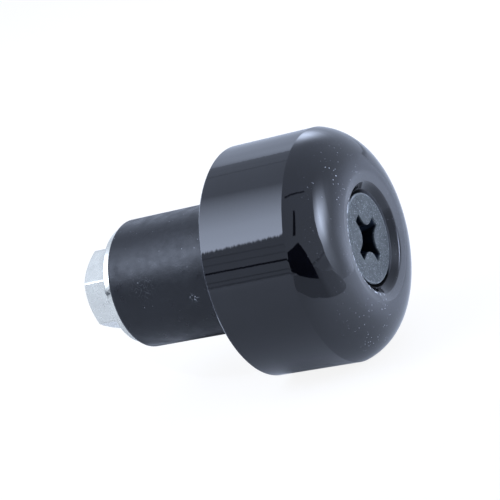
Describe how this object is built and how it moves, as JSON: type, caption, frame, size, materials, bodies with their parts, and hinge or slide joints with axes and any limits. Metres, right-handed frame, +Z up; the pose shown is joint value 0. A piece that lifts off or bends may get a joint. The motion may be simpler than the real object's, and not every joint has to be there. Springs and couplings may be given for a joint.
{
  "type": "bar end weight",
  "caption": "Round black handlebar end weight: a crowned head, a rubber expander sleeve that swells inside the bar, and a flanged nut drawn up by a long sunk screw.",
  "frame": {"origin": "centre of the flat back of the head, on the axis, where the end of the bar tube stops", "axes": "+X outwards along the bar axis, from the nut to the head; +Z up; the sleeve and the nut lie towards -X"},
  "size_m": [0.0411, 0.03, 0.03],
  "materials": {
    "gloss_black_paint": "gloss",
    "dark_screw_steel": "matte",
    "black_rubber": "matte",
    "zinc_plate": "satin"
  },
  "bodies": {
    "weight": {"weight_head": "gloss_black_paint", "expander_sleeve": "black_rubber"},
    "screw": {"clamp_screw": "dark_screw_steel"},
    "nut": {"flange_nut": "zinc_plate"}
  },
  "joints": [
    {"name": "screw_turn", "type": "hinge", "parent": "weight", "child": "screw", "pos_m": [0, 0, 0], "axis": [-1, 0, 0], "range_deg": [0, 1080]},
    {"name": "nut_draw", "type": "slide", "parent": "weight", "child": "nut", "axis": [1, 0, 0], "range_m": [0, 0.003], "deforming": ["expander_sleeve"]}
  ],
  "couplings": [
    {"joint": "screw_turn", "follows": "nut_draw", "rad_per_m": 6283.2}
  ]
}
